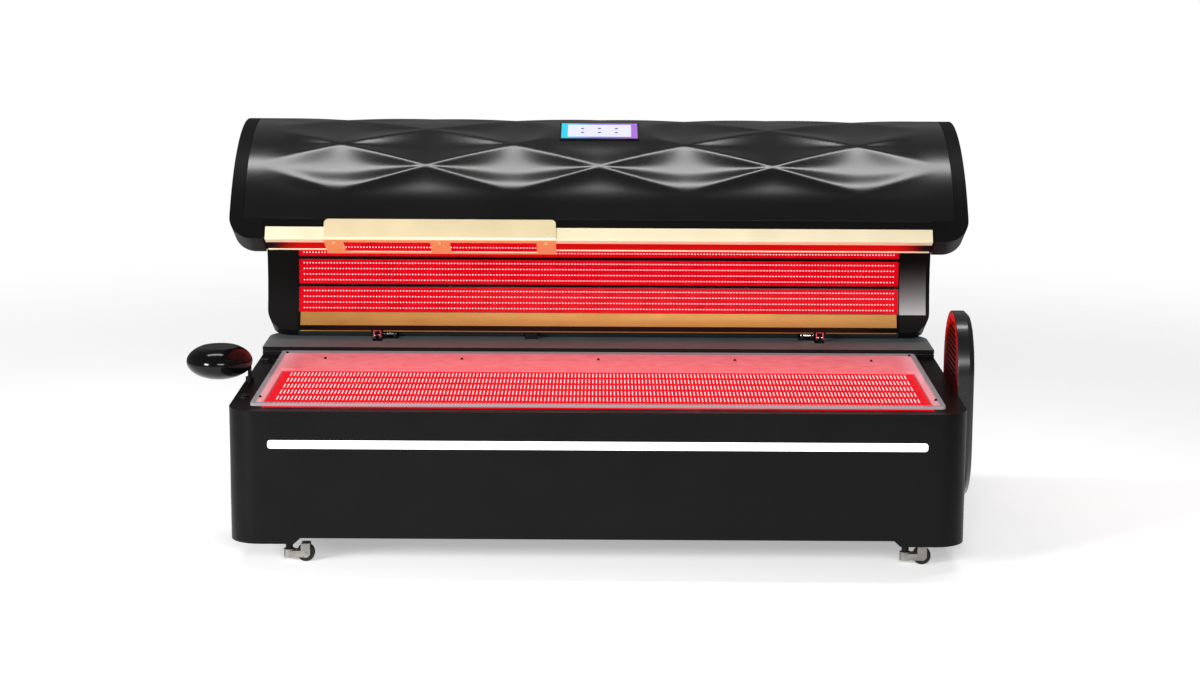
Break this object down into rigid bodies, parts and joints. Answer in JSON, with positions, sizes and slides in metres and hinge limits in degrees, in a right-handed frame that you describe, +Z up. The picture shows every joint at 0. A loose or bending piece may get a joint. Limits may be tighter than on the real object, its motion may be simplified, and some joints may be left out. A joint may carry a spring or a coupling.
{
  "type": "led light therapy bed",
  "caption": "Lie-down light therapy bed: black base on casters with a lit clear sheet, and a hinged barrel canopy with a diamond-faceted shell, lit inner strips and gold trim.",
  "frame": {"origin": "on the floor under the middle of the base", "axes": "X along the bed, the vent tower at +X; the front, where a person gets in, faces -Y; Z up"},
  "size_m": [2.431, 1.1877, 1.2853],
  "materials": {
    "casing": "satin",
    "steel": "powder coat",
    "acrylic": "polished clear",
    "standoff": "satin",
    "black_screw": "blackened",
    "led_board": "lit red",
    "light_bar": "lit white",
    "supply": "satin",
    "board": "solder mask",
    "black_plastic": "matte",
    "fork": "die cast",
    "wheel": "matte",
    "bright_steel": "polished",
    "dark_steel": "satin",
    "button": "gloss",
    "tower": "satin",
    "grille": "lit red",
    "pod": "gloss",
    "shell": "satin metallic",
    "cap": "gloss",
    "rail": "black anodised",
    "rib": "mill",
    "tray": "black anodised",
    "gold": "satin gold",
    "screen": "lit"
  },
  "bodies": {
    "base": {"front_panel": "casing", "rear_panel": "casing", "end_panels": "casing", "deck": "casing", "rear_beam": "casing", "base_pan": "steel", "chassis": "steel", "base_led_boards": "led_board", "acrylic_sheet": "acrylic", "sheet_standoffs": "standoff", "sheet_screws": "black_screw", "light_bar_lens": "light_bar", "power_supplies": "supply", "control_board": "board", "power_inlet": "black_plastic", "rear_fan_frame": "black_plastic", "tower_fan_frame": "black_plastic", "caster_stems": "dark_steel", "hinge_brackets": "dark_steel", "hinge_pins": "bright_steel", "cable_hood": "black_plastic", "strut_cylinders": "steel", "button_bezels": "bright_steel", "tower_shell": "tower", "tower_grille": "grille", "pod_collar": "dark_steel"},
    "canopy": {"end_cap_left": "cap", "end_cap_right": "cap", "front_rail": "rail", "rear_rail": "rail", "canopy_ribs": "rib", "canopy_shell": "shell", "screen_bezel": "cap", "touch_screen": "screen", "canopy_led_trays": "tray", "canopy_led_boards": "led_board", "canopy_covers": "acrylic", "front_trim": "gold", "rear_trim": "gold", "pull_handle": "gold", "hinge_arms": "bright_steel"},
    "strut_left": {"strut_rod_left": "bright_steel"},
    "strut_right": {"strut_rod_right": "bright_steel"},
    "pod": {"pod_stalk": "dark_steel", "pod_body": "pod", "pod_top": "pod"},
    "rear_button": {"button_rear": "button"},
    "front_button": {"button_front": "button"},
    "rear_rotor": {"rear_fan_rotor": "black_plastic"},
    "tower_rotor": {"tower_fan_rotor": "black_plastic"},
    "fork_front_left": {"caster_fork_front_left": "fork"},
    "wheel_front_left": {"caster_wheel_front_left": "wheel"},
    "fork_front_right": {"caster_fork_front_right": "fork"},
    "wheel_front_right": {"caster_wheel_front_right": "wheel"},
    "fork_rear_left": {"caster_fork_rear_left": "fork"},
    "wheel_rear_left": {"caster_wheel_rear_left": "wheel"},
    "fork_rear_right": {"caster_fork_rear_right": "fork"},
    "wheel_rear_right": {"caster_wheel_rear_right": "wheel"}
  },
  "joints": [
    {"name": "canopy_hinge", "type": "hinge", "parent": "base", "child": "canopy", "pos_m": [0, 0.475, 0.525], "axis": [-1, 0, 0], "range_deg": [-26.8, 0]},
    {"name": "strut_left_slide", "type": "slide", "parent": "base", "child": "strut_left", "axis": [0, 0, 1], "range_m": [-0.0195, 0]},
    {"name": "strut_right_slide", "type": "slide", "parent": "base", "child": "strut_right", "axis": [0, 0, 1], "range_m": [-0.0195, 0]},
    {"name": "pod_swivel", "type": "hinge", "parent": "base", "child": "pod", "pos_m": [-1.084, -0.146, 0.5], "axis": [0, 0, 1], "range_deg": [-60, 60]},
    {"name": "rear_button_press", "type": "slide", "parent": "base", "child": "rear_button", "axis": [0, 0, 1], "range_m": [-0.003, 0], "stiffness_N_per_m": 900, "springref_m": 0.001},
    {"name": "front_button_press", "type": "slide", "parent": "base", "child": "front_button", "axis": [0, 0, 1], "range_m": [-0.003, 0], "stiffness_N_per_m": 900, "springref_m": 0.001},
    {"name": "rear_fan_spin", "type": "hinge", "parent": "base", "child": "rear_rotor", "pos_m": [0.52, 0.56, 0.29], "axis": [0, 1, 0], "continuous": true},
    {"name": "tower_fan_spin", "type": "hinge", "parent": "base", "child": "tower_rotor", "pos_m": [1.13, -0.113, 0.6], "axis": [1, 0, 0], "continuous": true},
    {"name": "caster_front_left_swivel", "type": "hinge", "parent": "base", "child": "fork_front_left", "pos_m": [-0.93, -0.475, 0.07], "axis": [0, 0, 1], "continuous": true},
    {"name": "caster_front_left_roll", "type": "hinge", "parent": "fork_front_left", "child": "wheel_front_left", "pos_m": [-0.88, -0.475, 0.027], "axis": [0, 1, 0], "continuous": true},
    {"name": "caster_front_right_swivel", "type": "hinge", "parent": "base", "child": "fork_front_right", "pos_m": [0.93, -0.475, 0.07], "axis": [0, 0, 1], "continuous": true},
    {"name": "caster_front_right_roll", "type": "hinge", "parent": "fork_front_right", "child": "wheel_front_right", "pos_m": [0.98, -0.475, 0.027], "axis": [0, 1, 0], "continuous": true},
    {"name": "caster_rear_left_swivel", "type": "hinge", "parent": "base", "child": "fork_rear_left", "pos_m": [-0.93, 0.475, 0.07], "axis": [0, 0, 1], "continuous": true},
    {"name": "caster_rear_left_roll", "type": "hinge", "parent": "fork_rear_left", "child": "wheel_rear_left", "pos_m": [-0.88, 0.475, 0.027], "axis": [0, 1, 0], "continuous": true},
    {"name": "caster_rear_right_swivel", "type": "hinge", "parent": "base", "child": "fork_rear_right", "pos_m": [0.93, 0.475, 0.07], "axis": [0, 0, 1], "continuous": true},
    {"name": "caster_rear_right_roll", "type": "hinge", "parent": "fork_rear_right", "child": "wheel_rear_right", "pos_m": [0.98, 0.475, 0.027], "axis": [0, 1, 0], "continuous": true}
  ],
  "couplings": [
    {"joint": "strut_left_slide", "follows": "canopy_hinge", "m_per_rad": 0.04083},
    {"joint": "strut_right_slide", "follows": "canopy_hinge", "m_per_rad": 0.04083}
  ]
}
